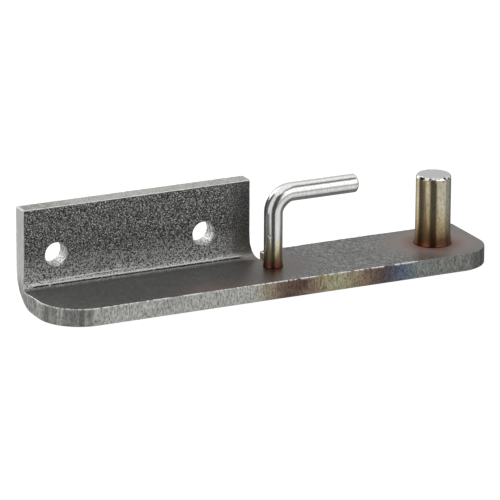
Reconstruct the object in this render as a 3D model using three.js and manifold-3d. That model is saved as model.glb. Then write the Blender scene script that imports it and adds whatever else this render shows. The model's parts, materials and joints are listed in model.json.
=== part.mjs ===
// Keeper bracket for a hook-over gate latch: a folded steel plate with a stub pin and a bent hook rod,
// both set in bores through the plate's arm and plug-welded from beneath.
// Millimetres, +Z up. The origin is under the middle of the arm, on the plane of its underside. The
// arm runs along X, and the mounting flange stands along its back edge, at +Y, on the left.

import * as THREE from "three";
import { mergeVertices } from "three/addons/utils/BufferGeometryUtils.js";
import Module from "manifold-3d";

// Plate: one blank of flat bar, folded once along X.
const PLATE = 6.35;
const ARM_LENGTH = 171.8;
const ARM_DEPTH = 34.6;
const CORNER_NEAR_FLANGE = 15.5;
const CORNER_NEAR_PIN = 13.7;
const FLANGE_LENGTH = 87;
const FLANGE_HEIGHT = 35.3;
const BEND_INNER = 3;
const BEND_OUTER = 12;

// Screw holes through the flange.
const HOLE_DIAMETER = 8.3;
const HOLE_HEIGHT = 18.1;
const HOLE_FROM_END = 12.4;
const HOLE_SPACING = 56.5;

// Relief slot between the flange and the flat back half of the arm. The fold swells the flange's end,
// so the end leans out from the flange's length to the slot's own left wall.
const SLOT_START = 89.3;
const SLOT_WIDTH = 4.9;
const SLOT_TIP_FROM_FRONT = 23.4;
const SWELL_HEIGHT = 17.5;

// Stub pin.
const PIN_DIAMETER = 12.7;
const PIN_TOP = 31.9;
const PIN_CHAMFER = 0.6;

// Hook rod, bent once so that its free end points at the stub pin.
const ROD_DIAMETER = 6.7;
const ROD_LEG_HEIGHT = 32.7;
const ROD_BEND = 6.8;
const ROD_REACH = 32.3;
const ROD_TO_PIN = 63.7;
const ROD_CHAMFER = 0.6;

// Plug welds, in countersinks on the underside.
const WELD_DEPTH = 2.2;
const WELD_FLARE = 1.6;
const WELD_RECESS = 0.2;

// Clearance between pieces that the welding joins.
const GAP = 0.3;

// How finely round shapes are cut, and how far a cutting tool runs past the surface it opens.
const ROUND = 48;
const ARC = 12;
const ROD_STEPS = 48;
const PAST = 1;

const ARM_LEFT = -ARM_LENGTH / 2;
const ARM_RIGHT = ARM_LENGTH / 2;
const FRONT = -ARM_DEPTH / 2;
const BACK = ARM_DEPTH / 2;
const PIN_X = ARM_RIGHT - ARM_DEPTH / 2;
const ROD_X = PIN_X - ROD_TO_PIN;
const SLOT_LEFT = ARM_LEFT + SLOT_START;
const SLOT_MIDDLE = SLOT_LEFT + SLOT_WIDTH / 2;
const SLOT_CENTRE_Y = FRONT + SLOT_TIP_FROM_FRONT + SLOT_WIDTH / 2;

const wasm = await Module();
wasm.setup();

// A closed geometry as a solid that can be joined and cut.
function solid(geometry) {
  const bare = geometry.index ? geometry.toNonIndexed() : geometry.clone();
  bare.deleteAttribute("normal");
  bare.deleteAttribute("uv");
  const merged = mergeVertices(bare, 1e-4);
  return new wasm.Manifold(
    new wasm.Mesh({
      numProp: 3,
      vertProperties: new Float32Array(merged.attributes.position.array),
      triVerts: new Uint32Array(merged.index.array),
    }),
  );
}

// A solid as a geometry again, with flat facets.
function geometryOf(body) {
  const mesh = body.getMesh();
  const indexed = new THREE.BufferGeometry();
  indexed.setAttribute("position", new THREE.BufferAttribute(mesh.vertProperties, 3));
  indexed.setIndex(new THREE.BufferAttribute(mesh.triVerts, 1));
  const geometry = indexed.toNonIndexed();
  geometry.computeVertexNormals();
  return geometry;
}

// An outline in X and Y, raised from one height to another.
function raised(shape, bottom, top) {
  const geometry = new THREE.ExtrudeGeometry(shape, {
    depth: top - bottom,
    bevelEnabled: false,
    curveSegments: ARC,
  });
  return geometry.translate(0, 0, bottom);
}

// A round bar or bore along Z, or along Y when lengthwise is true.
function round(radius, from, to, x, other, lengthwise = false) {
  const geometry = new THREE.CylinderGeometry(radius, radius, to - from, ROUND);
  const middle = (from + to) / 2;
  if (lengthwise) return geometry.translate(x, middle, other);
  return geometry.rotateX(Math.PI / 2).translate(x, other, middle);
}

// A round piece about the vertical line at x, turned from radius and height pairs.
function turned(profile, x) {
  const points = profile.map(([radius, height]) => new THREE.Vector2(radius, height));
  return new THREE.LatheGeometry(points, ROUND).rotateX(Math.PI / 2).translate(x, 0, 0);
}

// The arm seen from above. Beside the flange it ends where the fold starts.
function armOutline(foldStart) {
  const shape = new THREE.Shape();
  shape.moveTo(ARM_LEFT, foldStart);
  shape.lineTo(ARM_LEFT, FRONT + CORNER_NEAR_FLANGE);
  shape.absarc(
    ARM_LEFT + CORNER_NEAR_FLANGE, FRONT + CORNER_NEAR_FLANGE, CORNER_NEAR_FLANGE, Math.PI, 1.5 * Math.PI,
  );
  shape.lineTo(ARM_RIGHT - CORNER_NEAR_PIN, FRONT);
  shape.absarc(
    ARM_RIGHT - CORNER_NEAR_PIN, FRONT + CORNER_NEAR_PIN, CORNER_NEAR_PIN, 1.5 * Math.PI, 2 * Math.PI,
  );
  shape.lineTo(ARM_RIGHT, BACK);
  shape.lineTo(SLOT_MIDDLE, BACK);
  shape.lineTo(SLOT_MIDDLE, foldStart);
  return shape;
}

// The fold and the flange seen from the right: across is Y and up is Z.
function flangeProfile(foldStart) {
  const inner = BACK - PLATE;
  const shape = new THREE.Shape();
  shape.moveTo(foldStart - PAST, 0);
  shape.lineTo(foldStart, 0);
  shape.absarc(foldStart, BEND_OUTER, BEND_OUTER, -Math.PI / 2, 0);
  shape.lineTo(BACK, FLANGE_HEIGHT);
  shape.lineTo(inner, FLANGE_HEIGHT);
  shape.lineTo(inner, PLATE + BEND_INNER);
  shape.absarc(inner - BEND_INNER, PLATE + BEND_INNER, BEND_INNER, 0, -Math.PI / 2, true);
  shape.lineTo(foldStart - PAST, PLATE);
  return shape;
}

// What is cut away to the right of the flange, seen from the front: the swollen end on its left side
// and the slot's straight wall on its right.
function flangeEndOutline() {
  const end = ARM_LEFT + FLANGE_LENGTH;
  const shape = new THREE.Shape();
  shape.moveTo(SLOT_LEFT, -PAST);
  shape.lineTo(SLOT_LEFT + SLOT_WIDTH, -PAST);
  shape.lineTo(SLOT_LEFT + SLOT_WIDTH, FLANGE_HEIGHT + PAST);
  shape.lineTo(end, FLANGE_HEIGHT + PAST);
  shape.lineTo(end, SWELL_HEIGHT);
  shape.quadraticCurveTo(end, PLATE + BEND_INNER, SLOT_LEFT, PLATE);
  return shape;
}

function flangeEndCutter() {
  const geometry = new THREE.ExtrudeGeometry(flangeEndOutline(), {
    depth: BACK + PAST - SLOT_CENTRE_Y,
    bevelEnabled: false,
    curveSegments: ARC,
  });
  return geometry.rotateX(Math.PI / 2).translate(0, BACK + PAST, 0);
}

// The bore and countersink that a round stem of the given radius is welded into.
function stemBore(radius, x) {
  const bore = solid(round(radius + GAP, -PAST, PLATE + PAST, x, 0));
  const rim = radius + WELD_FLARE + GAP;
  const sink = turned(
    [[0, -PAST], [rim, -PAST], [rim, 0], [radius + GAP, WELD_DEPTH], [0, WELD_DEPTH]], x,
  );
  return bore.add(solid(sink));
}

function bracketPlate() {
  const foldStart = BACK - BEND_OUTER;
  const arm = solid(raised(armOutline(foldStart), 0, PLATE));
  const flange = new THREE.ExtrudeGeometry(flangeProfile(foldStart), {
    depth: SLOT_MIDDLE - ARM_LEFT,
    bevelEnabled: false,
    curveSegments: ARC,
  });
  flange.rotateX(Math.PI / 2).rotateZ(Math.PI / 2).translate(ARM_LEFT, 0, 0);
  let plate = arm.add(solid(flange));
  plate = plate.subtract(solid(flangeEndCutter()));
  const slotEnd = round(SLOT_WIDTH / 2, -PAST, PLATE + PAST, SLOT_MIDDLE, SLOT_CENTRE_Y);
  plate = plate.subtract(solid(slotEnd));
  for (const step of [0, 1]) {
    const x = ARM_LEFT + HOLE_FROM_END + step * HOLE_SPACING;
    const hole = round(HOLE_DIAMETER / 2, FRONT, BACK + PAST, x, HOLE_HEIGHT, true);
    plate = plate.subtract(solid(hole));
  }
  plate = plate.subtract(stemBore(PIN_DIAMETER / 2, PIN_X));
  plate = plate.subtract(stemBore(ROD_DIAMETER / 2, ROD_X));
  return geometryOf(plate);
}

function pivotPin() {
  const radius = PIN_DIAMETER / 2;
  const foot = WELD_DEPTH + GAP;
  return turned(
    [[0, foot], [radius, foot], [radius, PIN_TOP - PIN_CHAMFER], [radius - PIN_CHAMFER, PIN_TOP], [0, PIN_TOP]],
    PIN_X,
  );
}

// The quarter turn of the rod's centre line, from straight up to along +X.
class QuarterBend extends THREE.Curve {
  getPoint(t, target = new THREE.Vector3()) {
    const angle = (t * Math.PI) / 2;
    const x = ROD_X + ROD_BEND * (1 - Math.cos(angle));
    const z = ROD_LEG_HEIGHT - ROD_BEND * (1 - Math.sin(angle));
    return target.set(x, 0, z);
  }
}

// The rod's centre line: up from its foot in the arm, round the bend and along to the end chamfer.
function rodLine(foot, end) {
  const bend = new QuarterBend();
  const line = new THREE.CurvePath();
  line.add(new THREE.LineCurve3(new THREE.Vector3(ROD_X, 0, foot), bend.getPoint(0)));
  line.add(bend);
  line.add(new THREE.LineCurve3(bend.getPoint(1), new THREE.Vector3(end, 0, ROD_LEG_HEIGHT)));
  return line;
}

function hookRod() {
  const radius = ROD_DIAMETER / 2;
  const section = new THREE.Shape().absarc(0, 0, radius, 0, 2 * Math.PI);
  const tipStart = ROD_X + ROD_REACH - ROD_CHAMFER;
  const bar = new THREE.ExtrudeGeometry(section, {
    steps: ROD_STEPS,
    bevelEnabled: false,
    curveSegments: ARC,
    extrudePath: rodLine(WELD_DEPTH + GAP, tipStart),
  });
  const tip = new THREE.CylinderGeometry(radius - ROD_CHAMFER, radius, ROD_CHAMFER, ARC * 2);
  tip.rotateZ(-Math.PI / 2).translate(tipStart + ROD_CHAMFER / 2, 0, ROD_LEG_HEIGHT);
  return geometryOf(solid(bar).add(solid(tip)));
}

// A plug of weld metal under a stem, slightly below the plate's surface.
function plugWeld(radius, x) {
  const slope = WELD_FLARE / WELD_DEPTH;
  return turned(
    [
      [0, WELD_RECESS],
      [radius + WELD_FLARE - slope * WELD_RECESS, WELD_RECESS],
      [radius, WELD_DEPTH],
      [0, WELD_DEPTH],
    ],
    x,
  );
}

function piece(name, geometry, colour, roughness, metalness) {
  const material = new THREE.MeshStandardMaterial({ color: colour, roughness, metalness });
  const mesh = new THREE.Mesh(geometry, material);
  mesh.name = name;
  return mesh;
}

const bracket = new THREE.Group();
bracket.add(
  piece("bracket_plate", bracketPlate(), 0x62625f, 0.55, 0.8),
  piece("pivot_pin", pivotPin(), 0xa39a86, 0.3, 1),
  piece("hook_rod", hookRod(), 0xb4b2aa, 0.25, 1),
  piece("pivot_pin_weld", plugWeld(PIN_DIAMETER / 2, PIN_X), 0x6f6a66, 0.5, 0.9),
  piece("hook_rod_weld", plugWeld(ROD_DIAMETER / 2, ROD_X), 0x6f6a66, 0.5, 0.9),
);

export default bracket;
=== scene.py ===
import json
import math

import bpy
import numpy as np
from bpy.props import FloatProperty, FloatVectorProperty, IntProperty, PointerProperty
from mathutils import Matrix, Vector, noise
from mathutils.geometry import delaunay_2d_cdt
from mathutils.kdtree import KDTree


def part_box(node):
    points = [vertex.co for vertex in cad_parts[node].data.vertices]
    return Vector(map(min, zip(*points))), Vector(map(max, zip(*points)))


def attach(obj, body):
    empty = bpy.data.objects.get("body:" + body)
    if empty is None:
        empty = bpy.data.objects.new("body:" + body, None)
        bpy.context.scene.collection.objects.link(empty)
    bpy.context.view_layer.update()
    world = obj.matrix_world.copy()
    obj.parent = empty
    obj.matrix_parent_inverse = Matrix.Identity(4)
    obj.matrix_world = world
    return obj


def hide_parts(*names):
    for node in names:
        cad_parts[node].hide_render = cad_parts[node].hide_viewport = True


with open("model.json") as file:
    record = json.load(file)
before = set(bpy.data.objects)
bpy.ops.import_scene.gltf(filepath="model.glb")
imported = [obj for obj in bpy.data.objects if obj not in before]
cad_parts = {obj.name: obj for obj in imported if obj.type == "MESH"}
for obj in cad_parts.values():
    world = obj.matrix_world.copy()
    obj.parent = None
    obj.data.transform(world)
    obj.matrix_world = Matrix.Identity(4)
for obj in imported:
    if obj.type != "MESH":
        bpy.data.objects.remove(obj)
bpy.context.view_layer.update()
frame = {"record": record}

bl_info = {
    "name": "Gate latch keeper bracket",
    "version": (1, 0, 0),
    "blender": (4, 5, 0),
    "location": "View3D > Sidebar > Keeper",
    "description": "Builds a folded steel keeper bracket with its welded stub pin and hook rod",
    "category": "Add Mesh",
}

# Lengths are written in millimetres. Blender's settings and meshes hold them in metres.
MM = 0.001
# A gap or step that is too small to see.
HAIR = 0.02


def in_mm(corner):
    return [value / MM for value in corner]


def middle_mm(low, high):
    return [(a + b) / 2 / MM for a, b in zip(low, high)]


def named(rows, name):
    return next(row for row in rows if row["name"] == name)


MOUNTS = frame["record"]["mounts"]
OPENINGS = frame["record"]["physics"]["openings"]

PLATE_LOW, PLATE_HIGH = (in_mm(corner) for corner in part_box("bracket_plate"))
PIN_LOW, PIN_HIGH = (in_mm(corner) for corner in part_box("pivot_pin"))
ROD_LOW, ROD_HIGH = (in_mm(corner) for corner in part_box("hook_rod"))
ARM_LEFT, FRONT, _ = PLATE_LOW
ARM_RIGHT, BACK, FLANGE_TOP = PLATE_HIGH
ARM_TOP = named(MOUNTS, "arm_top_at_pin")["pos_m"][2] / MM
HOLES = [
    middle_mm(*named(OPENINGS, name)["box_m"]) for name in ("screw_hole_left", "screw_hole_right")
]

PIN_RADIUS = (PIN_HIGH[0] - PIN_LOW[0]) / 2
PIN_X = (PIN_HIGH[0] + PIN_LOW[0]) / 2
PIN_TOP = PIN_HIGH[2]
ROD_RADIUS = (ROD_HIGH[1] - ROD_LOW[1]) / 2
ROD_X = ROD_LOW[0] + ROD_RADIUS
ROD_LEG = ROD_HIGH[2] - ROD_RADIUS
ROD_END = ROD_HIGH[0]
STEM_FOOT = PIN_LOW[2]

# The bores that the stems stand in, and the countersink that each bore has on the underside.
BORE_CLEARANCE = 0.05
COUNTERSINK_WIDENING = 1.75
COUNTERSINK_DEPTH = 2.2


def length(name, description, default):
    return FloatProperty(name=name, description=description, default=default * MM, min=0.0, unit="LENGTH",
                         precision=5)


def share(name, description, default):
    return FloatProperty(name=name, description=description, default=default, min=0.0, max=1.0,
                         subtype="FACTOR")


def colour(name, description, default):
    return FloatVectorProperty(name=name, description=description, default=default, subtype="COLOR",
                               min=0.0, max=1.0)


class KeeperPlateSettings(bpy.types.PropertyGroup):
    near_flange: length("Flange corner", "Radius of the arm's corner in front of the flange", 15.5)
    near_pin: length("Pin corner", "Radius of the arm's corner in front of the pin", 13.7)
    bend_inner: length("Inner bend", "Inner radius of the fold", 3.0)
    bend_outer: length("Outer bend", "Outer radius of the fold", 12.0)
    hole_radius: length("Hole radius", "Radius of each screw hole", 4.15)
    slot_left: length("Slot start", "Distance from the arm's left end to the relief slot", 89.3)
    slot_width: length("Slot width", "Width of the relief slot", 4.9)
    slot_tip: length("Slot tip", "Distance from the arm's front edge to the slot's round tip", 23.4)
    flange_length: length("Flange length", "Length of the flange above its swollen foot", 87.0)
    swell_height: length("Swell height", "Height where the flange's end starts to lean out", 17.5)
    swell: length("Swell", "How far the fold pushes the plate's ends out", 0.85)
    edge_radius: length("Edge radius", "Rounding left on the sheared edges", 0.28)
    burr: length("Burr", "Height of the burr along the top of the sheared edges", 0.16)
    striation: length("Striation", "Depth of the cutting marks down the sheared edges", 0.07)
    crease: length("Crease", "Depth of the line that the press blade leaves in the fold", 0.3)
    scale_colour: colour("Mill scale", "Colour of the rolled faces", (0.21, 0.21, 0.205))
    cut_colour: colour("Cut steel", "Colour of the sheared edges", (0.66, 0.66, 0.62))


class KeeperPinSettings(bpy.types.PropertyGroup):
    chamfer: length("Chamfer", "Height of the chamfer at the pin's top", 0.75)
    flare: length("Foot flare", "How far the weld wicks up and out round the foot", 0.6)
    steel: colour("Steel", "Colour of the turned pin above the heat tint", (0.62, 0.59, 0.48))


class KeeperRodSettings(bpy.types.PropertyGroup):
    bend: length("Bend", "Radius of the bend's centre line", 6.8)
    chamfer: length("Chamfer", "Size of the chamfer at the free end", 0.6)
    flare: length("Foot flare", "How far the weld wicks up and out round the foot", 0.3)
    bulge: share("Bulge", "How much the bend's inner side is upset outwards", 0.16)
    steel: colour("Steel", "Colour of the bright drawn rod", (0.86, 0.86, 0.84))


class KeeperWeldSettings(bpy.types.PropertyGroup):
    ripple: length("Ripple", "Height of the ripples in the weld metal", 0.16)
    ripples: IntProperty(name="Ripples", description="Rings of ripples in each plug weld", default=5, min=1)
    steel: colour("Weld metal", "Colour of the weld metal", (0.34, 0.33, 0.31))


class KeeperStageSettings(bpy.types.PropertyGroup):
    yaw: FloatProperty(name="Yaw", description="How far the camera stands to the left of straight ahead",
                       default=math.radians(26.26), subtype="ANGLE")
    pitch: FloatProperty(name="Pitch", description="How far the camera looks down",
                         default=math.radians(17.6), subtype="ANGLE")
    roll: FloatProperty(name="Roll", description="Tilt of the camera about its line of sight",
                        default=math.radians(0.3), subtype="ANGLE")
    distance: length("Distance", "Distance from the camera to the point it aims at", 1652.0)
    lens: FloatProperty(name="Lens", description="Focal length on a 36 mm sensor, in millimetres",
                        default=338.7, min=1.0)
    aim: FloatVectorProperty(name="Aim", description="Point that the camera aims at",
                             default=(-3.23 * MM, 1.89 * MM, 12.67 * MM), subtype="TRANSLATION",
                             unit="LENGTH")
    floor: colour("Floor", "Colour of the floor", (1.0, 1.0, 1.0))


# Mesh making


def make_mesh(name, points, faces, materials, material_of_face=None, worn=None):
    mesh = bpy.data.meshes.new(name)
    mesh.from_pydata([tuple(point) for point in np.asarray(points) * MM], [], faces)
    for material in materials:
        mesh.materials.append(material)
    if material_of_face is not None:
        mesh.polygons.foreach_set("material_index", material_of_face)
    if worn is not None:
        mesh.attributes.new("worn", "FLOAT", "POINT").data.foreach_set("value", worn)
    mesh.shade_smooth()
    mesh.validate()
    piece = bpy.data.objects.new(name, mesh)
    bpy.context.scene.collection.objects.link(piece)
    weighted = piece.modifiers.new("weighted normals", "WEIGHTED_NORMAL")
    weighted.weight = 80
    return piece


def band(upper, lower, count):
    """Quads between two rings of points, from the number of each ring's first point."""
    faces = []
    for i in range(count):
        after = (i + 1) % count
        faces.append((upper + i, lower + i, lower + after, upper + after))
    return faces


def closed_skin(rings):
    """Points and faces of a round body through rings, which go from its top or free end to its foot."""
    count = len(rings[0])
    points = np.vstack(rings + [rings[0].mean(axis=0), rings[-1].mean(axis=0)])
    faces = []
    for row in range(len(rings) - 1):
        faces += band(row * count, (row + 1) * count, count)
    last = (len(rings) - 1) * count
    for i in range(count):
        after = (i + 1) % count
        faces.append((i, after, len(points) - 2))
        faces.append((last + after, last + i, len(points) - 1))
    return points, faces


def smooth_step(value):
    value = np.clip(value, 0.0, 1.0)
    return value * value * (3 - 2 * value)


def bell(value, width):
    return np.exp(-((value / width) ** 2))


def wander(values, scale, seed):
    """Smooth random values between about -1 and 1 along a line."""
    return np.array([noise.noise(Vector((value / scale, seed, seed * 0.37))) for value in values])


def wander_round(angles, reach, height):
    """Smooth random values between about -1 and 1 round a circle."""
    circle = [(math.cos(a) * reach, math.sin(a) * reach, height) for a in angles]
    return np.array([noise.noise(Vector(place)) for place in circle])


def arc(centre, radius, start, end, step):
    count = max(3, int(abs(end - start) * radius / step))
    angles = np.linspace(start, end, count + 1)
    return [(centre[0] + radius * math.cos(a), centre[1] + radius * math.sin(a)) for a in angles]


def resampled(corners, step):
    """A closed outline through the corners, with points at most a step apart."""
    points = []
    for start, end in zip(corners, corners[1:] + corners[:1]):
        start, end = np.array(start), np.array(end)
        gap = np.linalg.norm(end - start)
        if gap < 1e-6:
            continue
        count = max(1, math.ceil(gap / step - 1e-6))
        points += [start + (end - start) * i / count for i in range(count)]
    return np.array(points)


def inset(loop, distance):
    """The loop moved into the material on its left, with its corners kept."""
    along = np.roll(loop, -1, axis=0) - loop
    along /= np.linalg.norm(along, axis=1)[:, None]
    left = np.stack([-along[:, 1], along[:, 0]], axis=1)
    before = np.roll(left, 1, axis=0)
    turn = (left + before) / 2
    turn /= (turn**2).sum(axis=1)[:, None]
    distance = np.broadcast_to(distance, len(loop))
    return loop + turn * distance[:, None]


# The plate. Its blank is drawn flat: x along the arm, s across it and on up the unfolded flange. Depth
# runs from 0 on the underside to 1 on the top, and fold() bends a point of the blank into place.


class Blank:
    """The plate's flat blank, with the plate settings' lengths in millimetres."""

    outline_step = 0.5
    face_step = 1.5
    # Shares of the fold's length: where the press blade's line runs, where the plate's ends swell most,
    # and where the flange's right end starts to lean out and turns upright.
    crease_at = 0.527
    swell_at = 0.4
    lean_from = 0.27
    lean_turn = 0.74
    # The swell: its spread across the fold and in from the ends, the depth where the plate keeps its
    # length, and the share of it that the flange's right end has.
    swell_spread = 6.5
    swell_reach = 2.5
    swell_neutral = 0.25
    swell_right = 0.6

    def __init__(self, settings):
        for name in settings.__annotations__:
            value = getattr(settings, name)
            setattr(self, name, value / MM if isinstance(value, float) else value)
        self.fold_start = BACK - self.bend_outer
        # The fold's inner face is an arc with a flat lead before it and a flat tail after it.
        self.lead = BACK - ARM_TOP - self.bend_inner - self.fold_start
        tail = self.bend_outer - ARM_TOP - self.bend_inner
        self.inner_length = self.lead + self.bend_inner * math.pi / 2 + tail
        outer_length = self.bend_outer * math.pi / 2
        self.fold_length = (self.inner_length + outer_length) / 2
        self.fold_end = self.fold_start + self.fold_length
        self.top = self.at_height(FLANGE_TOP)
        self.slot_left = ARM_LEFT + self.slot_left
        self.slot_right = self.slot_left + self.slot_width
        self.slot_middle = (self.slot_left + self.slot_right) / 2
        self.slot_centre = FRONT + self.slot_tip + self.slot_width / 2
        self.flange_end = ARM_LEFT + self.flange_length
        self.crease_s = self.in_fold(self.crease_at)
        self.swell_s = self.in_fold(self.swell_at)

    def in_fold(self, share_of_fold):
        return self.fold_start + share_of_fold * self.fold_length

    def at_height(self, z):
        return self.fold_end + z - self.bend_outer

    def inner_path(self, t):
        """The fold's inner face: y and z at a share t of the fold's length."""
        d = t * self.inner_length
        angle = np.clip((d - self.lead) / self.bend_inner, 0, math.pi / 2)
        rise = np.clip(d - self.lead - self.bend_inner * math.pi / 2, 0, None)
        y = self.fold_start + np.minimum(d, self.lead) + self.bend_inner * np.sin(angle)
        z = ARM_TOP + self.bend_inner * (1 - np.cos(angle)) + rise
        return y, z

    def outer_path(self, t):
        angle = t * math.pi / 2
        y = self.fold_start + self.bend_outer * np.sin(angle)
        return y, self.bend_outer * (1 - np.cos(angle))

    def fold(self, x, s, depth):
        """Points of the blank, bent into place."""
        t = np.clip((s - self.fold_start) / self.fold_length, 0, 1)
        inner_y, inner_z = self.inner_path(t)
        outer_y, outer_z = self.outer_path(t)
        before = np.minimum(s - self.fold_start, 0)
        after = np.maximum(s - self.fold_end, 0)
        folded_y = outer_y + (inner_y - outer_y) * depth + before
        folded_z = outer_z + (inner_z - outer_z) * depth + after
        flat = smooth_step((x - self.slot_left) / self.slot_width)
        y = folded_y + (s - folded_y) * flat
        z = folded_z + (ARM_TOP * depth - folded_z) * flat
        squeeze = bell(s - self.swell_s, self.swell_spread) * (depth - self.swell_neutral)
        push = np.exp((ARM_LEFT - x) / self.swell_reach)
        push = push - self.swell_right * np.exp((x - self.flange_end) / self.swell_reach)
        return np.stack([x - squeeze * self.swell * (1 - flat) * push, y, z], axis=-1)

    def outline(self):
        """The blank's outer edge, anticlockwise."""
        flange_corner = (ARM_LEFT + self.near_flange, FRONT + self.near_flange)
        pin_corner = (ARM_RIGHT - self.near_pin, FRONT + self.near_pin)
        lean_foot = np.array([self.slot_left, self.in_fold(self.lean_from)])
        lean_middle = np.array([self.flange_end, self.in_fold(self.lean_turn)])
        lean_top = np.array([self.flange_end, self.at_height(self.swell_height)])
        corners = [(ARM_LEFT, self.top)]
        step = self.outline_step
        corners += arc(flange_corner, self.near_flange, math.pi, 1.5 * math.pi, step)
        corners += arc(pin_corner, self.near_pin, 1.5 * math.pi, 2 * math.pi, step)
        corners += [(ARM_RIGHT, BACK), (self.slot_right, BACK)]
        corners += arc((self.slot_middle, self.slot_centre), self.slot_width / 2, 0, -math.pi, step)
        for t in np.linspace(0, 1, 25):
            point = (1 - t) ** 2 * lean_foot + 2 * t * (1 - t) * lean_middle + t**2 * lean_top
            corners.append(tuple(point))
        corners.append((self.flange_end, self.top))
        return resampled(corners, step)

    def holes(self):
        """Screw holes and stem bores as clockwise loops, with how far each widens at the underside."""
        rounds = [((x, self.at_height(z)), self.hole_radius, 0.0) for x, _, z in HOLES]
        for x, radius in ((PIN_X, PIN_RADIUS), (ROD_X, ROD_RADIUS)):
            rounds.append(((x, 0), radius + BORE_CLEARANCE, COUNTERSINK_WIDENING))
        step = self.outline_step * 0.8
        return [(np.array(arc(centre, radius, 2 * math.pi, 0, step)[:-1]), widen)
                for centre, radius, widen in rounds]

    def filling(self, loops, fine):
        """Points inside the loops: even over flat plate, and close together across the fold."""
        tree = KDTree(sum(len(loop) for loop in loops))
        for index, point in enumerate(np.vstack(loops)):
            tree.insert((point[0], point[1], 0), index)
        tree.balance()
        rounds = [(loop.mean(axis=0), np.linalg.norm(loop[0] - loop.mean(axis=0))) for loop in loops[1:]]
        coarse = self.face_step
        fold_row = 0.45 if fine else 0.9
        fold_spacing, fold_margin = (0.8, 0.16) if fine else (coarse, 0.45)
        flat_margin = 0.45
        crease_rows = np.arange(-1.4, 3.4, 0.15)
        rows = list(np.arange(FRONT + 0.7, self.fold_start, coarse))
        rows += list(np.arange(self.fold_start, self.fold_end, fold_row))
        rows += list(np.arange(self.fold_end, self.top, coarse))
        if fine:
            rows += list(self.crease_s + crease_rows)
        points = []
        for row, s in enumerate(sorted(rows)):
            in_fold = self.fold_start < s < self.fold_end
            spacing = fold_spacing if in_fold else coarse
            margin = fold_margin if in_fold else flat_margin
            for x in np.arange(ARM_LEFT + spacing * (0.5 + 0.25 * (row % 2)), ARM_RIGHT, spacing):
                # Right of the slot the arm stays flat, so it takes only about half of these points.
                if in_fold and x > self.slot_left and (x / coarse) % 1 > 0.55:
                    continue
                if any(math.dist((x, s), centre) < radius for centre, radius in rounds):
                    continue
                if tree.find((x, s, 0))[2] > margin:
                    points.append((x, s))
        return np.array(points)

    def face(self, loops, fine):
        """One face of the blank: its points, loops first, and its triangles."""
        points = np.vstack(loops + [self.filling(loops, fine)])
        edges = []
        loop_of = np.full(len(points), -1)
        first = 0
        for index, loop in enumerate(loops):
            count = len(loop)
            edges += [(first + i, first + (i + 1) % count) for i in range(count)]
            loop_of[first : first + count] = index
            first += count
        made = delaunay_2d_cdt([Vector(point) for point in points], edges, [], 1, 1e-7)
        if len(made[0]) > len(points):
            raise RuntimeError("the blank's outline crosses itself")
        faces = np.array([[made[3][corner][0] for corner in face] for face in made[2]])
        # A triangle with all its corners on one hole's rim lies in that hole.
        rims = loop_of[faces]
        in_hole = (rims[:, 0] > 0) & (rims[:, 0] == rims[:, 1]) & (rims[:, 0] == rims[:, 2])
        used, faces = np.unique(faces[~in_hole], return_inverse=True)
        if not np.array_equal(used[:first], np.arange(first)):
            raise RuntimeError("a point on the rim of the blank has no face")
        return points[used], faces.reshape(-1, 3).tolist()

    def press_marks(self, x, s):
        """Marks of the press blade and of flaking scale in the fold: their height, and where they are
        painted bright or dark.

        Shine runs from -1, painted shade in the blade's groove, over 0 to 1, where a lip or ridge
        is painted bright: partly bare steel where the scale cracked off, partly painted highlight.
        """
        line_width, lip_at, ridge_from, ridge_width = 0.36, 0.75, 0.9, 0.34
        ridge_end, ridge_fade = 0.62, 0.3
        across = s - self.crease_s
        wave = wander(x, 14.0, 3.1)
        rough = np.clip(1 + 1.6 * wander(x, 1.9, 8.3), 0, 2)
        reach = (x - ARM_LEFT) / (self.slot_left - ARM_LEFT)
        inside = smooth_step((self.slot_left - 4.5 - x) / 3.0) * smooth_step((x - ARM_LEFT - 1.5) / 3.0)
        groove = bell(across, line_width) * inside
        lip = bell(across - lip_at, line_width) * (0.75 + 0.35 * rough) * inside
        gap = 0.7 + 1.1 * smooth_step(reach * 3.0) + 0.3 * wave
        ridge = bell(across - ridge_from - gap, ridge_width) * rough * inside
        ridge = ridge * smooth_step((ridge_end - reach) / ridge_fade)
        height = self.crease * (0.45 * lip + 0.4 * ridge - groove)
        # Lips and ridges are painted bright, partly as highlight; the groove is painted dark as shade.
        return height, np.clip(0.9 * lip + 0.75 * ridge, 0, 1) - groove


def wall_profile(radius, height):
    """Inset and depth of each ring of points from a face's rim, over the wall, to the other face."""
    turns = np.radians([0, 30, 60, 90])
    upper = [(radius * (1 - math.sin(a)), 1 - radius * (1 - math.cos(a)) / height) for a in turns]
    wall = [(0.0, depth) for depth in (0.8, 0.62, 0.44, 0.26)]
    lower = [(inwards, 1 - depth) for inwards, depth in reversed(upper)]
    return upper + wall + lower


def edge_burr(blank, loop, run):
    """Height of the burr along the blank's edge, as a share of its most.

    It is ragged, never falls below a least share on the flange, and fades out before the pin.
    """
    least_on_flange, fade_in = 0.55, 6.0
    fade_out = 8.0
    ragged = np.clip(0.75 + 1.1 * wander(run, 6.0, 2.0) + 1.9 * wander(run, 0.8, 4.0), 0, 1)
    on_flange = least_on_flange * smooth_step((loop[:, 1] - blank.fold_end) / fade_in)
    before_pin = smooth_step((PIN_X - fade_out - loop[:, 0]) / fade_out)
    return np.maximum(ragged, on_flange) * before_pin


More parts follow.
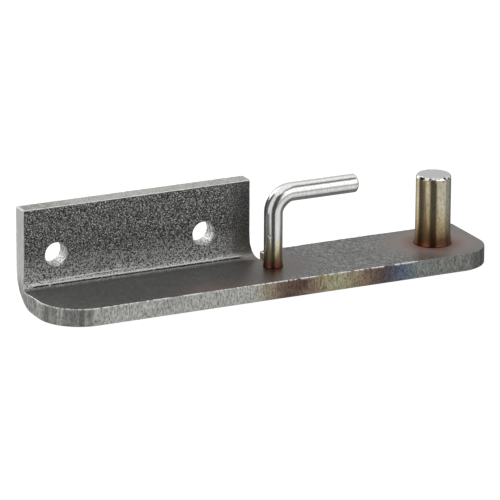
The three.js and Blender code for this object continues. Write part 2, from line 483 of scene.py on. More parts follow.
def wall_rings(blank, loop, widen, index):
    """Rings of points down one of the plate's walls, and each burr's wear and painted highlight."""
    burr_spread = 0.045
    run = np.cumsum(np.linalg.norm(np.roll(loop, -1, axis=0) - loop, axis=1))
    marks = wander(run, 1.1, 5.0 + index) + 0.5 * wander(run, 0.45, 9.0 + index)
    burr = edge_burr(blank, loop, run) if index == 0 else np.zeros(len(loop))
    rings = []
    worn = []
    for inwards, depth in wall_profile(blank.edge_radius, ARM_TOP)[1:-1]:
        near_wall = 1 - inwards / blank.edge_radius
        flare = widen * np.clip(1 - depth * ARM_TOP / COUNTERSINK_DEPTH, 0, 1)
        ring = inset(loop, inwards + flare + blank.striation * marks * near_wall)
        burred = burr * bell(depth - 1, burr_spread)
        rings.append(blank.fold(ring[:, 0], ring[:, 1], depth + blank.burr / ARM_TOP * burred))
        # A burr is painted bright: partly worn bare steel, partly painted highlight.
        worn.append(burred)
    return rings, worn


ROLLED, CUT = 0, 1


def build_plate(settings, materials):
    blank = Blank(settings)
    loops = [blank.outline()] + [loop for loop, _ in blank.holes()]
    widenings = [0.0] + [widen for _, widen in blank.holes()]
    rim = [inset(loop, blank.edge_radius) for loop in loops]
    foot = [inset(loop, blank.edge_radius + widen) for loop, widen in zip(loops, widenings)]
    top_points, top_faces = blank.face(rim, True)
    foot_points, foot_faces = blank.face(foot, False)

    top = blank.fold(top_points[:, 0], top_points[:, 1], np.ones(len(top_points)))
    marks, shine = blank.press_marks(top_points[:, 0], top_points[:, 1])
    t = np.clip((top_points[:, 1] - blank.fold_start) / blank.fold_length, 0, 1)
    turned = np.clip((t * blank.inner_length - blank.lead) / blank.bend_inner, 0, math.pi / 2)
    top[:, 1] -= marks * np.sin(turned)
    top[:, 2] += marks * np.cos(turned)
    underside = blank.fold(foot_points[:, 0], foot_points[:, 1], np.zeros(len(foot_points)))

    points = [top, underside]
    # Per point: wear and painted light, bright on press-mark lips and burrs, painted shade in the blade's
    # groove.
    worn = [shine, np.zeros(len(underside))]
    faces = [tuple(face) for face in top_faces]
    faces += [tuple(len(top) + corner for corner in reversed(face)) for face in foot_faces]
    kinds = [ROLLED] * len(faces)
    made = len(top) + len(underside)
    start_top = 0
    start_foot = len(top)
    for index, (loop, widen) in enumerate(zip(loops, widenings)):
        count = len(loop)
        rings, ring_wear_and_painted_light = wall_rings(blank, loop, widen, index)
        points += rings
        worn += ring_wear_and_painted_light
        starts = [start_top] + [made + i * count for i in range(len(rings))] + [start_foot]
        for upper, lower in zip(starts, starts[1:]):
            faces += band(upper, lower, count)
            kinds += [CUT] * count
        made += len(rings) * count
        start_top += count
        start_foot += count
    worn = np.concatenate(worn)
    return make_mesh("bracket_plate_steel", np.vstack(points), faces, materials, kinds, worn)


def turned_piece(name, profile, x, materials, sides, lift_at=None, nick_at=None):
    """A round piece about the vertical at x, from radius and height pairs that start under the axis."""
    rings = []
    angles = np.linspace(0, 2 * math.pi, sides, endpoint=False)
    for radius, height in reversed(profile):
        lift = lift_at(radius, angles, height) if lift_at else 0.0
        reach = radius - (nick_at(angles, height) if nick_at else 0.0)
        ring = [np.cos(angles) * reach + x, np.sin(angles) * reach, height + lift + 0 * angles]
        rings.append(np.stack(ring, axis=1))
    points, faces = closed_skin(rings)
    return make_mesh(name, points, faces, materials)


def foot_flare(height, flare, spread):
    """How far the foot of a stem stands out at a height above the plate."""
    return flare * math.exp((ARM_TOP - height) / spread) if height > ARM_TOP else 0.0


def build_pin(settings, materials):
    chamfer = settings.chamfer / MM
    flare = settings.flare / MM
    flare_spread = 2.2
    radius = PIN_RADIUS - HAIR
    foot_chamfer = 0.4
    profile = [(radius - foot_chamfer, STEM_FOOT), (radius, STEM_FOOT + foot_chamfer)]
    profile.append((radius, ARM_TOP - HAIR))
    flared = np.arange(ARM_TOP + HAIR, ARM_TOP + 6, 0.3)
    plain = np.linspace(ARM_TOP + 6.2, PIN_TOP - chamfer - 0.2, 24)
    for height in np.concatenate([flared, plain]):
        profile.append((radius + foot_flare(height, flare, flare_spread), height))
    chamfer_in = 0.42
    softening = 0.12
    profile += [
        (radius, PIN_TOP - chamfer - softening),
        (radius - softening * 0.25, PIN_TOP - chamfer),
        (radius - chamfer_in * 0.5, PIN_TOP - chamfer * 0.5),
        (radius - chamfer_in * 0.95, PIN_TOP - softening * 0.7),
        (radius - chamfer_in - softening, PIN_TOP),
    ]
    for share_of_radius in (0.75, 0.5, 0.25, 0.08):
        profile.append((radius * share_of_radius, PIN_TOP))

    def nick_at(angles, height):
        """The chamfer is filed by hand, so its edges wander in and out a little."""
        if height < PIN_TOP - chamfer - 0.3 or height > PIN_TOP - 0.01:
            return 0.0
        return 0.22 * np.clip(wander_round(angles, 3.1, height * 0.9), 0, 1)

    return turned_piece("pivot_pin_steel", profile, PIN_X, materials, sides=144, nick_at=nick_at)


# A scratch and a nick on the hook rod: bearing in degrees from +X, height, slope in millimetres per
# radian, length along the bearing in radians, width and depth.
ROD_DENTS = ((-135, 17.8, -2.6, 0.55, 0.22, 0.14), (-60, 16.5, 0.8, 0.2, 0.3, 0.16))


def dents(around, height):
    """Depth of the rod's dents at each bearing round one ring."""
    depth = np.zeros(len(around))
    for bearing, middle, slope, reach, width, deepest in ROD_DENTS:
        turned = (around - math.radians(bearing) + math.pi) % (2 * math.pi) - math.pi
        depth += deepest * bell(turned, reach) * bell(height - middle - slope * turned, width)
    return depth


def rod_stations(settings):
    """Places along the rod's centre line from its foot: x, z, its turn from upright and the radius."""
    bend = settings.bend / MM
    chamfer = settings.chamfer / MM
    flare = settings.flare / MM
    flare_spread = 1.2
    radius = ROD_RADIUS - HAIR
    bend_foot = ROD_LEG - bend
    stations = []
    leg = np.arange(ARM_TOP + HAIR, bend_foot, 0.2)
    for height in np.concatenate([[STEM_FOOT, ARM_TOP - HAIR], leg, [bend_foot]]):
        stations.append((ROD_X, height, 0.0, radius + foot_flare(height, flare, flare_spread)))
    for angle in np.linspace(0, math.pi / 2, 28)[1:]:
        x = ROD_X + bend * (1 - math.cos(angle))
        z = bend_foot + bend * math.sin(angle)
        stations.append((x, z, angle, radius))
    softening = 0.1
    for x in np.linspace(ROD_X + bend, ROD_END - chamfer - softening, 40)[1:]:
        stations.append((x, ROD_LEG, math.pi / 2, radius))
    chamfer_profile = ((chamfer - softening, 0.1), (chamfer * 0.5, 0.35), (softening, 0.55), (0.0, 0.72))
    for back, down in chamfer_profile:
        stations.append((ROD_END - back, ROD_LEG, math.pi / 2, radius - down))
    for share_of_radius in (0.5, 0.2):
        stations.append((ROD_END, ROD_LEG, math.pi / 2, radius * share_of_radius))
    return stations


def build_rod(settings, materials):
    """The rod as rings along its centre line, upset and wrinkled on the inner side of the bend."""
    sides = 64
    around = np.linspace(0, 2 * math.pi, sides, endpoint=False)
    inner = np.clip(np.cos(around), 0, 1) ** 2
    rings = []
    for x, z, angle, ring_radius in reversed(rod_stations(settings)):
        bending = math.sin(2 * angle) if 0 < angle < math.pi / 2 else 0.0
        wrinkle = 0.1 * bell(math.sin(5.5 * angle) - 1, 0.5) * bending
        across = ring_radius * (1 + settings.bulge * bending * inner) - wrinkle * inner
        across = across - (dents(around, z) if angle == 0 else 0.0)
        outwards = np.cos(around) * across
        sideways = np.sin(around) * ring_radius * (1 + 0.035 * bending)
        ring_x = x + outwards * math.cos(angle)
        ring_z = z - outwards * math.sin(angle)
        rings.append(np.stack([ring_x, sideways, ring_z], axis=1))
    points, faces = closed_skin(rings)
    return make_mesh("hook_rod_steel", points, faces, materials)


def build_weld(name, node, x, settings, materials):
    """A plug weld: rings of frozen ripples, recessed a little into the plate's underside."""
    low, high = (in_mm(corner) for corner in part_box(node))
    rim = (high[0] - low[0]) / 2
    foot = low[2]
    taper = 1.45
    neck = rim - taper
    neck_top = high[2] - HAIR
    ripple = settings.ripple / MM

    def lift_at(radius, angles, height):
        if height > foot + 0.6 or radius < 0.01:
            return 0.0
        rings = np.sin(radius / rim * settings.ripples * 2 * math.pi + 1.6 * np.sin(angles))
        rough = wander_round(angles, radius, x)
        return ripple * (0.45 * rings + 0.9 * rough) * smooth_step((rim - radius) / 0.8)

    profile = []
    for share_of_rim in np.linspace(0.03, 0.97, 22):
        profile.append((share_of_rim * rim, foot + 0.25 - 0.1 * share_of_rim))
    profile += [(rim, foot + 0.12), (rim - 0.1, foot + 0.35), (neck, neck_top), (neck * 0.5, neck_top)]
    return turned_piece(name, profile, x, materials, sides=72, lift_at=lift_at)


# Shader nodes


class NodeMaker:
    """Adds nodes to one node tree and links them. A value may be a number, a colour or a socket."""

    def __init__(self, tree):
        self.nodes = tree.nodes
        self.links = tree.links
        self.nodes.clear()

    def add(self, kind, *inputs, **settings):
        """A new node with its settings, and with values for its first inputs."""
        node = self.nodes.new("ShaderNode" + kind)
        for name, value in settings.items():
            setattr(node, name, value)
        for socket, value in zip(node.inputs, inputs):
            self.put(socket, value)
        return node

    def put(self, socket, value):
        if isinstance(value, bpy.types.NodeSocket):
            self.links.new(value, socket)
        elif isinstance(value, tuple) and socket.type == "RGBA":
            socket.default_value = (*value, 1.0)
        else:
            socket.default_value = value

    def maths(self, operation, *values):
        return self.add("Math", *values, operation=operation).outputs[0]

    def times(self, first, *others):
        for other in others:
            first = self.maths("MULTIPLY", first, other)
        return first

    def changed(self, value, changes):
        """The value, with each change added as far as its mask says."""
        for mask, change in changes:
            value = self.maths("MULTIPLY_ADD", mask, change, value)
        return value

    def range(self, value, low, high, start=0.0, end=1.0):
        return self.add("MapRange", value, low, high, start, end).outputs[0]

    def apart(self, vector):
        return self.add("SeparateXYZ", vector).outputs

    def mix(self, share_of_second, first, second, blend="MIX"):
        node = self.add("Mix", share_of_second, data_type="RGBA", blend_type=blend)
        self.put(node.inputs[6], first)
        self.put(node.inputs[7], second)
        return node.outputs[2]

    def tinted(self, base, tint):
        return self.mix(1.0, base, tint, "MULTIPLY")

    def coated(self, base, coats):
        """The base colour under coats, each with a mask, how much it covers there and its colour."""
        for mask, cover, shade in coats:
            base = self.mix(self.times(mask, cover), base, shade)
        return base

    def ramp(self, value, stops, reach=1.0):
        """A colour ramp from pairs of a position, up to the reach, and a colour."""
        node = self.add("ValToRGB", self.maths("DIVIDE", value, reach))
        elements = node.color_ramp.elements
        while len(elements) < len(stops):
            elements.new(1.0)
        for element, (position, shade) in zip(elements, stops):
            element.position = position / reach
            element.color = (*shade, 1.0)
        return node.outputs[0]


class Shader(NodeMaker):
    """A material under construction, with object coordinates in millimetres."""

    def __init__(self, name):
        self.material = bpy.data.materials.new(name)
        self.material.use_nodes = True
        super().__init__(self.material.node_tree)
        self.surface = self.add("BsdfPrincipled")
        self.add("OutputMaterial", self.surface.outputs["BSDF"])
        where = self.add("TexCoord")
        self.place = self.scaled(where.outputs["Object"], (1 / MM, 1 / MM, 1 / MM))
        self.normal = where.outputs["Normal"]

    def scaled(self, vector, scale):
        node = self.add("Mapping", vector)
        node.inputs["Scale"].default_value = scale
        return node.outputs["Vector"]

    def noise(self, vector, scale, detail, roughness=0.55, distortion=0.0):
        node = self.add("TexNoise", vector)
        node.inputs["Scale"].default_value = scale
        node.inputs["Detail"].default_value = detail
        node.inputs["Roughness"].default_value = roughness
        node.inputs["Distortion"].default_value = distortion
        return node.outputs[0]

    def stretched_noise(self, scale, detail, roughness=0.55, distortion=0.0):
        """Noise with its own scale along each axis."""
        return self.noise(self.scaled(self.place, scale), 1.0, detail, roughness, distortion)

    def painted(self, name):
        """A value that the mesh carries at its vertices."""
        return self.add("Attribute", attribute_name=name).outputs["Fac"]

    def distance(self, first, second):
        """Length of the diagonal over two distances at right angles."""
        squares = self.maths("MULTIPLY_ADD", first, first, self.times(second, second))
        return self.maths("SQRT", squares)

    def distance_to(self, x):
        """Distance from the vertical line at x, with its edge broken up."""
        across, along, _ = self.apart(self.place)
        reach = self.distance(self.maths("SUBTRACT", across, x), along)
        ragged = 2.6
        uneven = self.maths("SUBTRACT", self.noise(self.place, 0.35, 3.0), 0.5)
        return self.changed(reach, [(uneven, ragged)])

    def bump(self, height, distance, strength, normal=None):
        node = self.add("Bump")
        self.put(node.inputs["Strength"], strength)
        node.inputs["Distance"].default_value = distance * MM
        self.put(node.inputs["Height"], height)
        if normal is not None:
            self.put(node.inputs["Normal"], normal)
        return node.outputs[0]

    def finish(self, base, roughness, metallic, normal=None):
        self.put(self.surface.inputs["Base Color"], base)
        self.put(self.surface.inputs["Roughness"], roughness)
        self.put(self.surface.inputs["Metallic"], metallic)
        if normal is not None:
            self.put(self.surface.inputs["Normal"], normal)
        return self.material


# Oxide colours that welding heat leaves on bare steel, as factors on the steel's own colour. The first
# is by distance from the pin's weld and the second, a cooler one, by distance from the rod's.
TINT_REACH = 60.0
PIN_TINTS = [
    (0.0, (0.46, 0.44, 0.42)),
    (18.0, (0.50, 0.51, 0.50)),
    (21.5, (0.53, 0.55, 0.55)),
    (24.0, (0.43, 0.51, 0.55)),
    (27.0, (0.30, 0.36, 0.53)),
    (30.0, (0.27, 0.27, 0.38)),
    (33.5, (0.26, 0.21, 0.22)),
    (37.0, (0.39, 0.27, 0.23)),
    (40.5, (0.59, 0.43, 0.32)),
    (44.0, (0.68, 0.59, 0.42)),
    (48.0, (0.82, 0.76, 0.53)),
    (52.0, (0.86, 0.82, 0.64)),
    (56.0, (0.95, 0.92, 0.82)),
    (TINT_REACH, (1.0, 1.0, 1.0)),
]
ROD_TINTS = [
    (0.0, (0.20, 0.13, 0.09)),
    (11.0, (0.24, 0.15, 0.12)),
    (17.4, (0.30, 0.20, 0.17)),
    (18.2, (0.44, 0.31, 0.25)),
    (19.0, (0.64, 0.52, 0.40)),
    (20.6, (0.76, 0.68, 0.53)),
    (22.2, (0.94, 0.92, 0.82)),
    (24.5, (1.0, 1.0, 1.0)),
]
# Oxide colours up a stem, as factors on its steel, by height above the arm as a share of the tint's reach.
PIN_FOOT_TINTS = [
    (0.0, (0.34, 0.13, 0.09)),
    (0.08, (0.34, 0.15, 0.1)),
    (0.2, (0.36, 0.24, 0.16)),
    (0.4, (0.62, 0.5, 0.35)),
    (0.7, (0.93, 0.86, 0.72)),
    (1.0, (1.0, 1.0, 0.96)),
]
ROD_FOOT_TINTS = [
    (0.0, (0.2, 0.05, 0.035)),
    (0.1, (0.34, 0.14, 0.09)),
    (0.25, (0.46, 0.34, 0.2)),
    (0.5, (0.66, 0.58, 0.39)),
    (0.75, (0.85, 0.81, 0.66)),
    (1.0, (1.0, 1.0, 1.0)),
]
# Where the mesh paints a burr or a lip bright, from untouched to bright: worn bare steel and painted
# highlight.
WEAR_AND_HIGHLIGHT_BRIGHT = (0.2, 0.6)


def heat_tint(shader):
    near_pin = shader.ramp(shader.distance_to(PIN_X), PIN_TINTS, TINT_REACH)
    near_rod = shader.ramp(shader.distance_to(ROD_X), ROD_TINTS, TINT_REACH)
    return shader.tinted(near_pin, near_rod)


def mill_scale(settings):
    """Rolled faces: dark pebbled scale, rubbed smooth in places, weld-tinted, and painted light and shade.
    """
    shader = Shader("mill_scale")
    place, span, times = shader.place, shader.range, shader.times
    x, y, z = shader.apart(place)
    past_flange = shader.maths("SUBTRACT", x, ARM_LEFT + settings.flange_length / MM)
    fine = shader.noise(place, 2.7, 1.0, 0.5)
    coarse = shader.noise(place, 2.0, 2.0, 0.6)
    worms = shader.noise(shader.scaled(place, (1.0, 0.5, 1.0)), 1.2, 2.0, 0.5, 1.2)
    clouds = shader.noise(place, 0.07, 4.0, 0.6)
    pin_reach = shader.distance_to(PIN_X)
    rod_reach = shader.distance_to(ROD_X)

    # Regions: the flange and the arm, the flange's rubbed right end, its pebbled face and that face's low
    # part, painted lighter as painted light, the arm in front of the flange, and the arm where its rolled
    # face is left by the welds.
    upright = span(z, ARM_TOP + 0.1, ARM_TOP + 1.0)
    level = shader.maths("SUBTRACT", 1.0, upright)
    rubbed = span(past_flange, -10.1, -5.1)
    pebbled = times(upright, shader.changed(1.0, [(rubbed, -0.65)]))
    # Painted light: the flange's low part, above the fold, is painted much lighter.
    low = times(span(z, 19.0, 9.0), pebbled)
    in_front = times(span(past_flange, 0.9, -7.1), level)
    off_welds = times(span(pin_reach, 13.0, 22.0), span(rod_reach, 5.0, 20.0))
    rolled = times(off_welds, span(past_flange, -5.1, 4.9, 0.25, 1.0), level)

    # Marks and tints in those regions.
    # A darker coat on the upper part of the flange's rubbed right end.
    darker_end_band = times(rubbed, upright, span(z, 9.0, 17.0))
    rubs = times(span(coarse, 0.6, 0.45), in_front)
    # Light specks on the pebbled grain are painted glints.
    glint_speck = times(span(coarse, 0.54, 0.58), pebbled)
    dark_speck = times(span(fine, 0.52, 0.45), pebbled)
    light_worm = times(span(worms, 0.53, 0.6), rolled)
    dark_worm = times(span(worms, 0.47, 0.41), rolled)
    warm = times(span(pin_reach, 11.0, 23.0, 1.0, 0.0), level)
    ring = times(span(pin_reach, 8.0, 13.0, 1.0, 0.0), level)
    warm_rod = times(span(rod_reach, 6.0, 16.0, 1.0, 0.0), level)
    streak_edge = span(shader.maths("MULTIPLY_ADD", clouds, 14.0, y), 2.0, -8.0)
    streak = times(span(past_flange, -47.1, -29.1), span(past_flange, 0.9, -17.1), streak_edge)
    streak = times(streak, level, span(clouds, 0.3, 0.6))
    chipped = times(span(shader.noise(place, 0.7, 4.0, 0.7), 0.62, 0.66), low)
    worn = shader.painted("worn")
    # Bright: scale chipped off in the fold, plus lips and ridges worn bare and painted as highlights.
    bright = shader.maths("MAXIMUM", chipped, span(worn, *WEAR_AND_HIGHLIGHT_BRIGHT))

    base = shader.mix(span(clouds, 0.35, 0.7), (0.14, 0.14, 0.137), tuple(settings.scale_colour))
    base = shader.coated(base, [
        (upright, 0.85, (0.16, 0.16, 0.156)),
        # Painted light: the flange's low part is painted much lighter.
        (low, 0.9, (0.8, 0.8, 0.78)),
        (darker_end_band, 0.55, (0.06, 0.06, 0.06)),
        (in_front, 0.9, (0.17, 0.167, 0.16)),
        (rubs, 0.55, (0.09, 0.09, 0.088)),
        # Painted glints on the pebbled scale.
        (glint_speck, 0.9, (0.75, 0.75, 0.73)),
        (dark_speck, 0.9, (0.015, 0.015, 0.015)),
        (light_worm, 0.5, (0.52, 0.52, 0.51)),
        (dark_worm, 0.55, (0.05, 0.05, 0.05)),
        (warm, 0.9, (0.3, 0.25, 0.225)),
        (ring, 0.9, (0.25, 0.155, 0.125)),
        (warm_rod, 0.7, (0.165, 0.13, 0.115)),
        (streak, 0.8, (0.3, 0.2, 0.16)),
        # Painted shade in the press blade's groove.
        (span(worn, -0.2, -0.7), 1.0, (0.02, 0.02, 0.02)),
        (bright, 1.0, (0.95, 0.95, 0.92)),
    ])
    roughness = shader.changed(span(clouds, 0.3, 0.7, 0.28, 0.38), [
        (pebbled, 0.14),
        (in_front, 0.12),
        (ring, 0.15),
        (warm, 0.15),
    ])
    metallic = shader.changed(0.95, [
        (in_front, -0.35),
        (pebbled, -0.2),
        (low, -0.25),
        (ring, -0.3),
        (warm, -0.5),
        (bright, -0.4),
    ])
    relief = shader.bump(fine, 0.16, shader.changed(0.2, [(pebbled, 0.8)]))
    relief = shader.bump(worms, 0.2, rolled, relief)
    return shader.finish(base, roughness, metallic, relief)


def sheared_steel(settings):
    """Cut edges: bright torn steel, marks down the cut, weld oxide tints, and painted highlights."""
    shader = Shader("sheared_steel")
    span, times = shader.range, shader.times
    x, _, height = shader.apart(shader.place)
    marks = shader.stretched_noise((1.9, 1.9, 0.3), 3.0, 0.65, 0.4)
    bands = shader.stretched_noise((0.4, 0.4, 0.04), 2.0, 0.6)
    torn = shader.stretched_noise((1.9, 1.9, 0.9), 2.0, 0.6)
    blotch = shader.noise(shader.place, 0.3, 3.0, 0.6)
    left_corner = span(x, ARM_LEFT + 20.0, ARM_LEFT + 12.0, 0.0, 0.5)
    right_corner = span(x, PIN_X + 2.0, ARM_RIGHT - 5.0, 0.0, 0.65)
    banded = times(span(bands, 0.42, 0.55), shader.maths("ADD", left_corner, right_corner))
    # Painted highlight: the flange's left end near the fold is painted near white, as blown out by light.
    flange_end = times(span(x, ARM_LEFT + 1.5, ARM_LEFT + 0.5), span(height, ARM_TOP, ARM_TOP + 5.0))

    hole = settings.hole_radius / MM
    base = shader.mix(span(blotch, 0.3, 0.7), (0.52, 0.52, 0.49), tuple(settings.cut_colour))
    base = shader.coated(base, [
        (span(marks, 0.53, 0.68), 0.6, (0.14, 0.14, 0.13)),
        (span(marks, 0.45, 0.35), 0.6, (0.88, 0.88, 0.85)),
        (span(torn, 0.47, 0.34), 0.6, (0.1, 0.1, 0.095)),
        (span(torn, 0.56, 0.68), 0.7, (0.85, 0.85, 0.82)),
        (banded, 1.0, (0.2, 0.2, 0.19)),
        # Painted highlight on the flange's left end.
        (flange_end, 0.7, (0.93, 0.93, 0.9)),
    ])
    for hole_x, _, hole_z in HOLES:
        aside = shader.maths("SUBTRACT", x, hole_x)
        above = shader.maths("SUBTRACT", height, hole_z)
        bored = span(shader.distance(aside, above), hole + 0.85, hole + 0.35)
        scored = times(bored, span(torn, 0.48, 0.42))
        base = shader.coated(base, [(bored, 0.7, (0.9, 0.9, 0.87)), (scored, 0.9, (0.05, 0.05, 0.05))])
    heated = span(height, ARM_TOP + 1.0, ARM_TOP + 4.0, 1.0, 0.0)
    base = shader.mix(heated, base, shader.tinted(base, heat_tint(shader)))
    # Burrs and lips painted bright: worn bare steel and painted highlight.
    base = shader.mix(span(shader.painted("worn"), *WEAR_AND_HIGHLIGHT_BRIGHT), base, (0.95, 0.95, 0.93))
    relief = shader.bump(torn, 0.1, 0.7, shader.bump(marks, 0.14, 0.8))
    return shader.finish(base, span(marks, 0.3, 0.7, 0.42, 0.6), 1.0, relief)


def stem_steel(name, steel, tints, tint_reach, roughness, metallic, pitting=0.0, filed_from=None):
    """Round bar: bright along its length, with oxide colours that deepen towards the foot.

    Pitting, from 0 to 1, also rusts the pin's left side. A stem that is filed at its top says from what
    height, and its end face is then dull and its chamfer faceted, its facets painted as glints and as
    dark reflections.
    """
    shader = Shader(name)
    span, times = shader.range, shader.times
    x, _, height = shader.apart(shader.place)
    uneven = shader.maths("SUBTRACT", shader.stretched_noise((0.7, 0.7, 0.1), 3.0), 0.5)
    tint_height = shader.changed(height, [(uneven, 3.0)])
    tint = shader.ramp(span(tint_height, ARM_TOP, ARM_TOP + tint_reach), tints)
    turned = shader.stretched_noise((0.25, 0.25, 1.6), 3.0, 0.6)
    rub = shader.stretched_noise((1.4, 1.4, 0.12), 3.0, 0.6)
    mottled = shader.stretched_noise((2.0, 2.0, 0.9), 2.0, 0.6)
    pits = shader.noise(shader.place, 1.3, 3.0, 0.7)
    rusty = times(span(x, PIN_X + 0.5, PIN_X - 3.5), span(pits, 0.35, 0.6, 0.4 * pitting, pitting))
    dull = tuple(0.62 * channel for channel in steel)

    base = shader.coated(tuple(steel), [
        (span(rub, 0.45, 0.75), 0.5, dull),
        (span(mottled, 0.5, 0.62), pitting * 0.45, (0.3, 0.26, 0.18)),
        (span(pits, 0.58, 0.7), pitting, (0.12, 0.11, 0.09)),
    ])
    base = shader.tinted(base, tint)
    base = shader.mix(rusty, base, shader.tinted(base, (1.2, 0.97, 0.72)))
    rough = span(rub, 0.35, 0.7, roughness, roughness + 0.1)
    if filed_from is not None:
        upwards = shader.apart(shader.normal)[2]
        at_top = span(height, filed_from, filed_from + 0.1)
        filed = times(span(upwards, 0.15, 0.3), at_top)
        end = times(span(upwards, 0.8, 0.95), at_top)
        # The chamfer's facets: painted glints and painted dark reflections.
        facet_glints = span(shader.noise(shader.place, 0.6, 2.0), 0.5, 0.56)
        base = shader.mix(filed, base, shader.mix(facet_glints, (0.95, 0.94, 0.9), (0.05, 0.05, 0.05)))
        base = shader.mix(end, base, (0.66, 0.66, 0.64))
        rough = shader.changed(rough, [(end, 0.25)])
    relief = shader.bump(rub, 0.03, 0.4, shader.bump(turned, 0.02, 0.5))
    return shader.finish(base, rough, metallic, relief)


def weld_metal(settings):
    """Plug welds: dull rippled metal, with brown and blue oxide in blotches."""
    shader = Shader("weld_metal")
    grain = shader.noise(shader.place, 2.2, 3.0, 0.6)
    blotch = shader.noise(shader.place, 0.5, 3.0, 0.6)
    base = shader.mix(shader.range(blotch, 0.35, 0.7), tuple(settings.steel), (0.2, 0.15, 0.12))
    base = shader.coated(base, [(shader.range(grain, 0.5, 0.7), 0.5, (0.15, 0.16, 0.2))])
    roughness = shader.range(grain, 0.3, 0.7, 0.35, 0.6)
    return shader.finish(base, roughness, 1.0, shader.bump(grain, 0.1, 0.5))


# Operators


def settle(piece, node):
    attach(piece, "root")
    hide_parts(node)


class KEEPER_OT_plate(bpy.types.Operator):
    """Folds the plate from its blank, with its screw holes, relief slot and press marks"""

    bl_idname = "keeper.plate"
    bl_label = "Bracket plate"

    def execute(self, context):
        settings = context.scene.keeper_plate
        piece = build_plate(settings, [mill_scale(settings), sheared_steel(settings)])
        settle(piece, "bracket_plate")
        return {"FINISHED"}


class KEEPER_OT_pin(bpy.types.Operator):
    """Turns the stub pin, with its chamfer and heat-tinted foot"""

    bl_idname = "keeper.pin"
    bl_label = "Stub pin"

    def execute(self, context):
        settings = context.scene.keeper_pin
        steel = stem_steel("pin_steel", settings.steel, PIN_FOOT_TINTS, tint_reach=16.0, roughness=0.16,
                           metallic=0.94, pitting=0.8, filed_from=PIN_TOP - 1.0)
        settle(build_pin(settings, [steel]), "pivot_pin")
        return {"FINISHED"}


class KEEPER_OT_rod(bpy.types.Operator):
    """Bends the hook rod, with its pinched corner and chamfered end"""

    bl_idname = "keeper.rod"
    bl_label = "Hook rod"

    def execute(self, context):
        settings = context.scene.keeper_rod
        steel = stem_steel("rod_steel", settings.steel, ROD_FOOT_TINTS, tint_reach=12.0, roughness=0.14,
                           metallic=0.97)
        settle(build_rod(settings, [steel]), "hook_rod")
        return {"FINISHED"}


class KEEPER_OT_welds(bpy.types.Operator):
    """Fills the two countersinks under the arm with plug welds"""

    bl_idname = "keeper.welds"
    bl_label = "Plug welds"

    def execute(self, context):
        settings = context.scene.keeper_weld
        steel = weld_metal(settings)
        for node, x in (("pivot_pin_weld", PIN_X), ("hook_rod_weld", ROD_X)):
            settle(build_weld(node + "_bead", node, x, settings, [steel]), node)
        return {"FINISHED"}


class KEEPER_OT_stage(bpy.types.Operator):
    """Sets the floor, the studio light and the camera"""

    bl_idname = "keeper.stage"
    bl_label = "Stage"

    def execute(self, context):
        settings = context.scene.keeper_stage
        add_floor(settings)
        add_studio(settings)
        add_camera(settings)
        context.scene.view_settings.view_transform = "Standard"
        return {"FINISHED"}


# The floor's half width, and its own light, which keeps it pale and even.
FLOOR_HALF = 30000.0
FLOOR_GLOW = 0.86


def add_floor(settings):
    mesh = bpy.data.meshes.new("floor")
    half = FLOOR_HALF * MM
    corners = [(-half, -half, 0), (half, -half, 0), (half, half, 0), (-half, half, 0)]
    mesh.from_pydata(corners, [], [(0, 1, 2, 3)])
    floor = bpy.data.objects.new("floor", mesh)
    floor.location.z = -HAIR * MM
    bpy.context.scene.collection.objects.link(floor)
    shader = Shader("floor_white")
    cloud = shader.noise(shader.place, 0.004, 2.0)
    base = shader.mix(shader.range(cloud, 0.3, 0.7), (0.3, 0.3, 0.3), (0.32, 0.32, 0.32))
    shader.put(shader.surface.inputs["Emission Color"], tuple(settings.floor))
    shader.put(shader.surface.inputs["Emission Strength"], FLOOR_GLOW)
    shader.finish(base, 0.9, 0.0)
    mesh.materials.append(shader.material)
    floor.visible_glossy = False


# The studio as the metal sees it, as the product of three brightnesses. The lamps go by bearing, in
# degrees right of the camera, up to their tops. On the camera's right and behind the bracket, the other
# two go by height, in degrees above the horizon: they leave a dark gap over the right lamps and a dark
# line at the horizon, and darken what lies low behind the bracket.
BRIGHTEST = 3.0
LAMP_TOP = 48.0
LAMPS = [
    (-180, 0.95), (-152, 0.95), (-144, 3.0), (-121, 3.0), (-110, 0.4), (-101, 0.06), (-76, 0.06),
    (-70, 0.8), (-29, 0.75), (-20, 0.05), (19, 0.05), (25, 0.95), (84, 0.95), (90, 0.4), (105, 0.4),
    (120, 0.95), (180, 0.95),
]
RIGHT_HEIGHTS = [
    (-90, 0.72), (-36, 0.75), (-24, 0.9), (-15, 0.88), (-9, 0.45), (0, 0.45), (8, 1.0), (14, 1.35),
    (46, 1.35), (53, 0.15), (62, 0.1), (65, 0.5), (68, 1.0),
]
BEHIND_HEIGHTS = [(-8, 0.22), (8, 0.7), (22, 0.7), (30, 0.55), (48, 1.0)]
# Soft edges, in degrees of bearing: RIGHT_HEIGHTS hold between the first and the second, and
# BEHIND_HEIGHTS hold beyond the second, on both sides.
RIGHT_STARTS = (0, 20)
RIGHT_ENDS = (105, 125)
# Half the width of the soft edge at the lamps' tops.
LAMP_EDGE = 2.0


def greys(brightnesses, low, high):
    """Stops of a ramp from pairs of an angle between low and high, and a brightness."""
    return [((angle - low) / (high - low), (grey / BRIGHTEST,) * 3) for angle, grey in brightnesses]


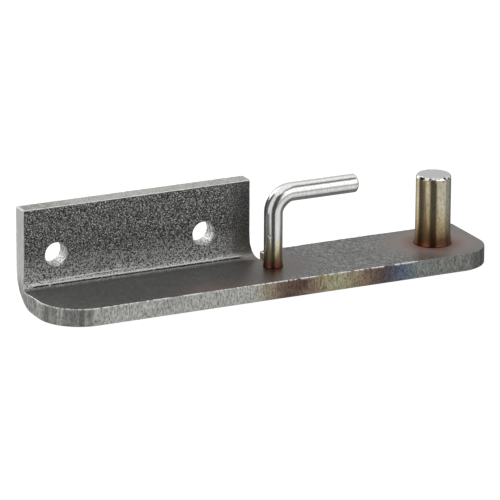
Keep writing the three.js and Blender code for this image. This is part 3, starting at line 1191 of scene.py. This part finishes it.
def add_studio(settings):
    world = bpy.data.worlds.new("studio")
    bpy.context.scene.world = world
    world.use_nodes = True
    maker = NodeMaker(world.node_tree)
    maths, span = maker.maths, maker.range

    way = maker.add("TexCoord").outputs["Generated"]
    turn = maker.add("VectorRotate", way, rotation_type="Z_AXIS")
    turn.inputs["Angle"].default_value = settings.yaw
    across, away, up = maker.apart(turn.outputs[0])
    bearing = maths("DEGREES", maths("ARCTAN2", across, maths("MULTIPLY", away, -1.0)))
    height = maths("DEGREES", maths("ARCSINE", up))
    open_studio = (1 / BRIGHTEST,) * 3

    around = maker.ramp(span(bearing, -180, 180), greys(LAMPS, -180, 180))
    lamps = maker.mix(span(height, LAMP_TOP - LAMP_EDGE, LAMP_TOP + LAMP_EDGE), around, open_studio)
    up_share = span(height, -90, 90)
    right = maker.ramp(up_share, greys(RIGHT_HEIGHTS, -90, 90))
    right = maker.mix(span(bearing, *RIGHT_STARTS), open_studio, right)
    right = maker.mix(span(bearing, *RIGHT_ENDS), right, open_studio)
    behind = maker.ramp(up_share, greys(BEHIND_HEIGHTS, -90, 90))
    behind = maker.mix(span(maths("ABSOLUTE", bearing), *RIGHT_ENDS), open_studio, behind)
    studio = maker.tinted(maker.tinted(lamps, right), behind)

    # Each of the three was divided by BRIGHTEST to fit in a colour, and the strength brings them back.
    # The camera itself sees a plain backdrop of brightness 1.
    seen = maker.add("LightPath").outputs["Is Camera Ray"]
    backdrop = maker.mix(seen, studio, (BRIGHTEST**-3,) * 3)
    background = maker.add("Background", backdrop, BRIGHTEST**3)
    maker.add("OutputWorld", background.outputs[0])


def add_camera(settings):
    yaw, pitch, roll = settings.yaw, settings.pitch, settings.roll
    forward = Vector((math.sin(yaw) * math.cos(pitch), math.cos(yaw) * math.cos(pitch), -math.sin(pitch)))
    right = Vector((math.cos(yaw), -math.sin(yaw), 0))
    up = right.cross(forward)
    rolled_right = right * math.cos(roll) + up * math.sin(roll)
    rolled_up = up * math.cos(roll) - right * math.sin(roll)
    data = bpy.data.cameras.new("camera")
    data.sensor_width = 36.0
    data.lens = settings.lens
    data.clip_end = 100.0
    camera = bpy.data.objects.new("camera", data)
    axes = Matrix((rolled_right, rolled_up, -forward)).transposed().to_4x4()
    camera.matrix_world = Matrix.Translation(Vector(settings.aim) - forward * settings.distance) @ axes
    bpy.context.scene.collection.objects.link(camera)
    bpy.context.scene.camera = camera


class KEEPER_PT_bracket(bpy.types.Panel):
    """Lists the bracket's pieces and their settings"""

    bl_label = "Keeper bracket"
    bl_idname = "KEEPER_PT_bracket"
    bl_space_type = "VIEW_3D"
    bl_region_type = "UI"
    bl_category = "Keeper"

    def draw(self, context):
        for operator, pointer, _ in STEPS:
            box = self.layout.box()
            box.operator(operator.bl_idname)
            settings = getattr(context.scene, pointer)
            for name in settings.__annotations__:
                box.prop(settings, name)


STEPS = (
    (KEEPER_OT_stage, "keeper_stage", KeeperStageSettings),
    (KEEPER_OT_plate, "keeper_plate", KeeperPlateSettings),
    (KEEPER_OT_pin, "keeper_pin", KeeperPinSettings),
    (KEEPER_OT_rod, "keeper_rod", KeeperRodSettings),
    (KEEPER_OT_welds, "keeper_weld", KeeperWeldSettings),
)


def register():
    for operator, pointer, settings in STEPS:
        bpy.utils.register_class(settings)
        bpy.utils.register_class(operator)
        setattr(bpy.types.Scene, pointer, PointerProperty(type=settings))
    bpy.utils.register_class(KEEPER_PT_bracket)


def unregister():
    bpy.utils.unregister_class(KEEPER_PT_bracket)
    for operator, pointer, settings in reversed(STEPS):
        delattr(bpy.types.Scene, pointer)
        bpy.utils.unregister_class(operator)
        bpy.utils.unregister_class(settings)


def main():
    register()
    for operator, _, _ in STEPS:
        group, name = operator.bl_idname.split(".")
        getattr(getattr(bpy.ops, group), name)()


if __name__ == "__main__":
    main()
